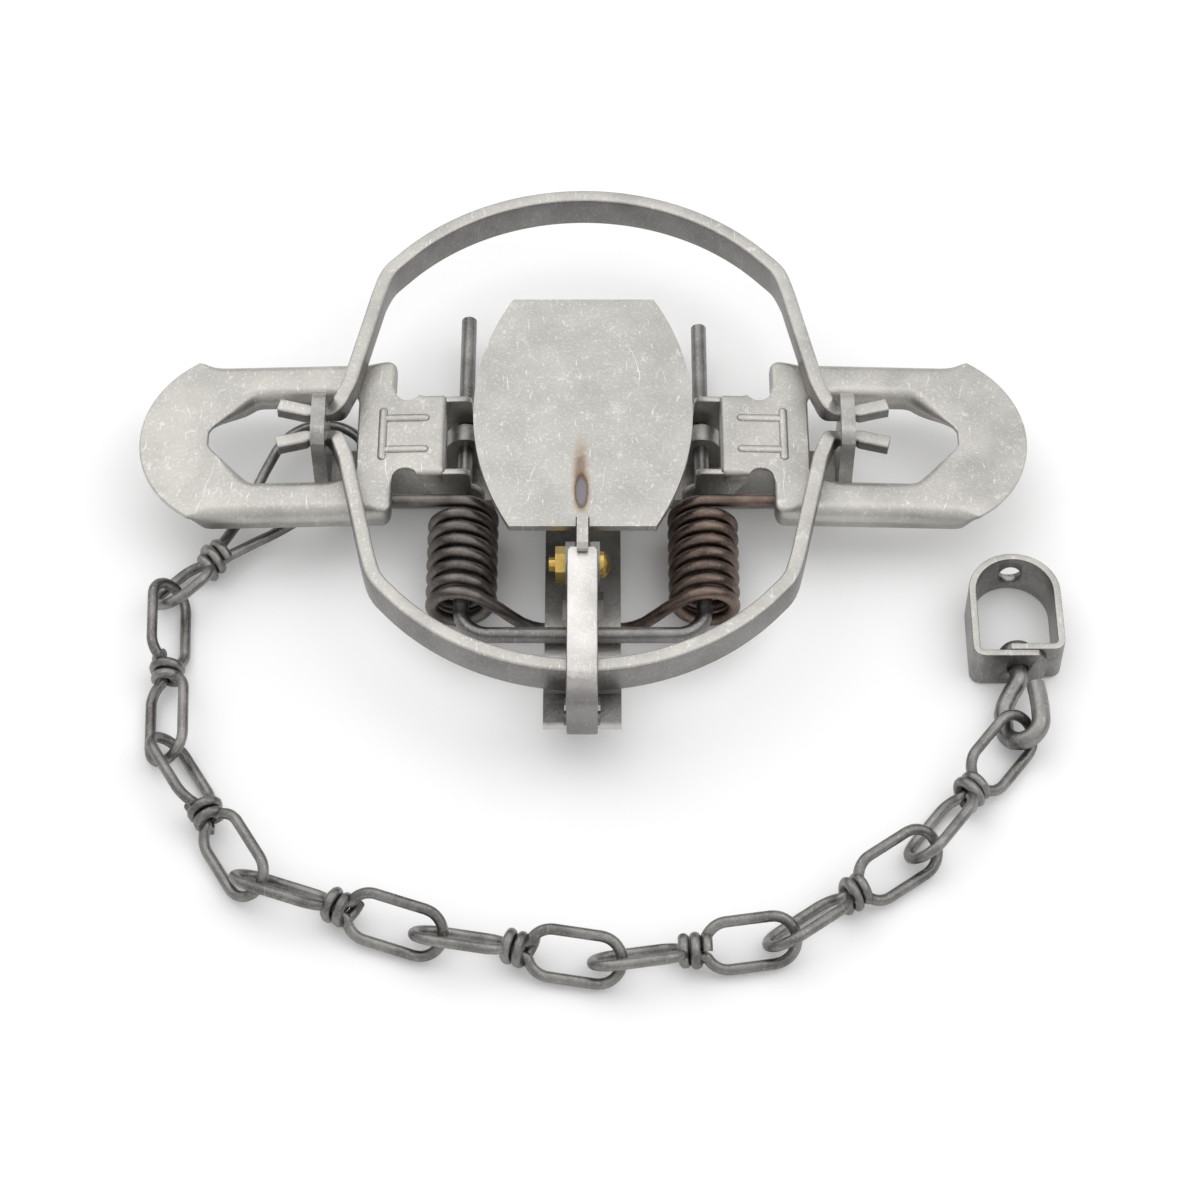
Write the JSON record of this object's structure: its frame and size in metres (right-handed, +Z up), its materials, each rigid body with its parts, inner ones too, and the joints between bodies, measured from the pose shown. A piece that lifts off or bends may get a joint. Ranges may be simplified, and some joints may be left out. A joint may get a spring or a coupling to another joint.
{
  "type": "foothold trap",
  "caption": "Set coil-spring foothold trap: levers, hinged jaws, pan and latch on a strap frame, with a double-loop chain and a shackle swivel.",
  "frame": {"origin": "centre of the base strap's underside, on the ground", "axes": "+X along the base strap to the right lever, +Y to the back, away from the latch, +Z up"},
  "size_m": [0.2327, 0.2262, 0.0327],
  "materials": {
    "bright_steel": "tumbled bare steel with fine scratches",
    "dark_steel": "dark mill-scaled steel",
    "spring_steel": "heat-treated brown-black spring steel",
    "chain_steel": "dull grey steel wire and strap",
    "brass": "plain brass"
  },
  "bodies": {
    "frame": {"base_strap": "dark_steel", "cross_strap": "dark_steel", "frame_rivets": "dark_steel", "spring_rod": "dark_steel", "left_spring": "spring_steel", "right_spring": "spring_steel", "pan_screw": "brass", "pan_nut": "brass"},
    "left_lever": {"left_lever": "bright_steel"},
    "right_lever": {"right_lever": "bright_steel"},
    "front_jaw": {"front_jaw": "bright_steel"},
    "back_jaw": {"back_jaw": "bright_steel"},
    "dog": {"dog": "bright_steel"},
    "pan": {"pan_plate": "bright_steel", "pan_shank": "bright_steel"},
    "link_1": {"chain_link_1": "chain_steel"},
    "link_2": {"chain_link_2": "chain_steel"},
    "link_3": {"chain_link_3": "chain_steel"},
    "link_4": {"chain_link_4": "chain_steel"},
    "link_5": {"chain_link_5": "chain_steel"},
    "link_6": {"chain_link_6": "chain_steel"},
    "link_7": {"chain_link_7": "chain_steel"},
    "link_8": {"chain_link_8": "chain_steel"},
    "swivel_eye": {"swivel_eye": "chain_steel"},
    "swivel_shackle": {"swivel_shackle": "chain_steel"}
  },
  "joints": [
    {"name": "left_lever_hinge", "type": "hinge", "parent": "frame", "child": "left_lever", "pos_m": [-0.0304, 0, 0.0098], "axis": [0, 1, 0], "range_deg": [-2, 0], "deforming": ["left_spring"]},
    {"name": "right_lever_hinge", "type": "hinge", "parent": "frame", "child": "right_lever", "pos_m": [0.0304, 0, 0.0098], "axis": [0, -1, 0], "range_deg": [-2, 0], "deforming": ["right_spring"]},
    {"name": "front_jaw_hinge", "type": "hinge", "parent": "frame", "child": "front_jaw", "pos_m": [0, -0.004, 0.0242], "axis": [-1, 0, 0], "range_deg": [-0.8, 0]},
    {"name": "back_jaw_hinge", "type": "hinge", "parent": "frame", "child": "back_jaw", "pos_m": [0, 0.004, 0.0242], "axis": [1, 0, 0], "range_deg": [0, 88]},
    {"name": "dog_hinge", "type": "hinge", "parent": "frame", "child": "dog", "pos_m": [0, -0.0825, 0.0152], "axis": [1, 0, 0], "range_deg": [0, 140]},
    {"name": "pan_tilt", "type": "hinge", "parent": "frame", "child": "pan", "pos_m": [0, -0.041, 0.021], "axis": [-1, 0, 0], "range_deg": [0, 10]},
    {"name": "link_1_swing", "type": "hinge", "parent": "frame", "child": "link_1", "pos_m": [-0.067, 0, 0.0058], "axis": [0, 0, 1], "range_deg": [-4, 4]},
    {"name": "link_2_swing", "type": "hinge", "parent": "link_1", "child": "link_2", "pos_m": [-0.104, -0.04, 0.0058], "axis": [0, 0, -1], "range_deg": [-4, 4]},
    {"name": "link_3_swing", "type": "hinge", "parent": "link_2", "child": "link_3", "pos_m": [-0.1015, -0.085, 0.0058], "axis": [0, 0, 1], "range_deg": [-4, 4]},
    {"name": "link_4_swing", "type": "hinge", "parent": "link_3", "child": "link_4", "pos_m": [-0.079, -0.122, 0.0058], "axis": [0, 0, -1], "range_deg": [-4, 4]},
    {"name": "link_5_swing", "type": "hinge", "parent": "link_4", "child": "link_5", "pos_m": [-0.036, -0.137, 0.0058], "axis": [0, 0, 1], "range_deg": [-4, 4]},
    {"name": "link_6_swing", "type": "hinge", "parent": "link_5", "child": "link_6", "pos_m": [0.006, -0.144, 0.0058], "axis": [0, 0, -1], "range_deg": [-4, 4]},
    {"name": "link_7_swing", "type": "hinge", "parent": "link_6", "child": "link_7", "pos_m": [0.047, -0.138, 0.0058], "axis": [0, 0, 1], "range_deg": [-4, 4]},
    {"name": "link_8_swing", "type": "hinge", "parent": "link_7", "child": "link_8", "pos_m": [0.0815, -0.1135, 0.0058], "axis": [0, 0, -1], "range_deg": [-4, 4]},
    {"name": "eye_swing", "type": "hinge", "parent": "link_8", "child": "swivel_eye", "pos_m": [0.1068, -0.0805, 0.0058], "axis": [0, 0, 1], "range_deg": [-4, 4]},
    {"name": "swivel_turn", "type": "hinge", "parent": "swivel_eye", "child": "swivel_shackle", "pos_m": [0.1078, -0.0625, 0.00635], "axis": [0, 1, 0], "continuous": true}
  ]
}
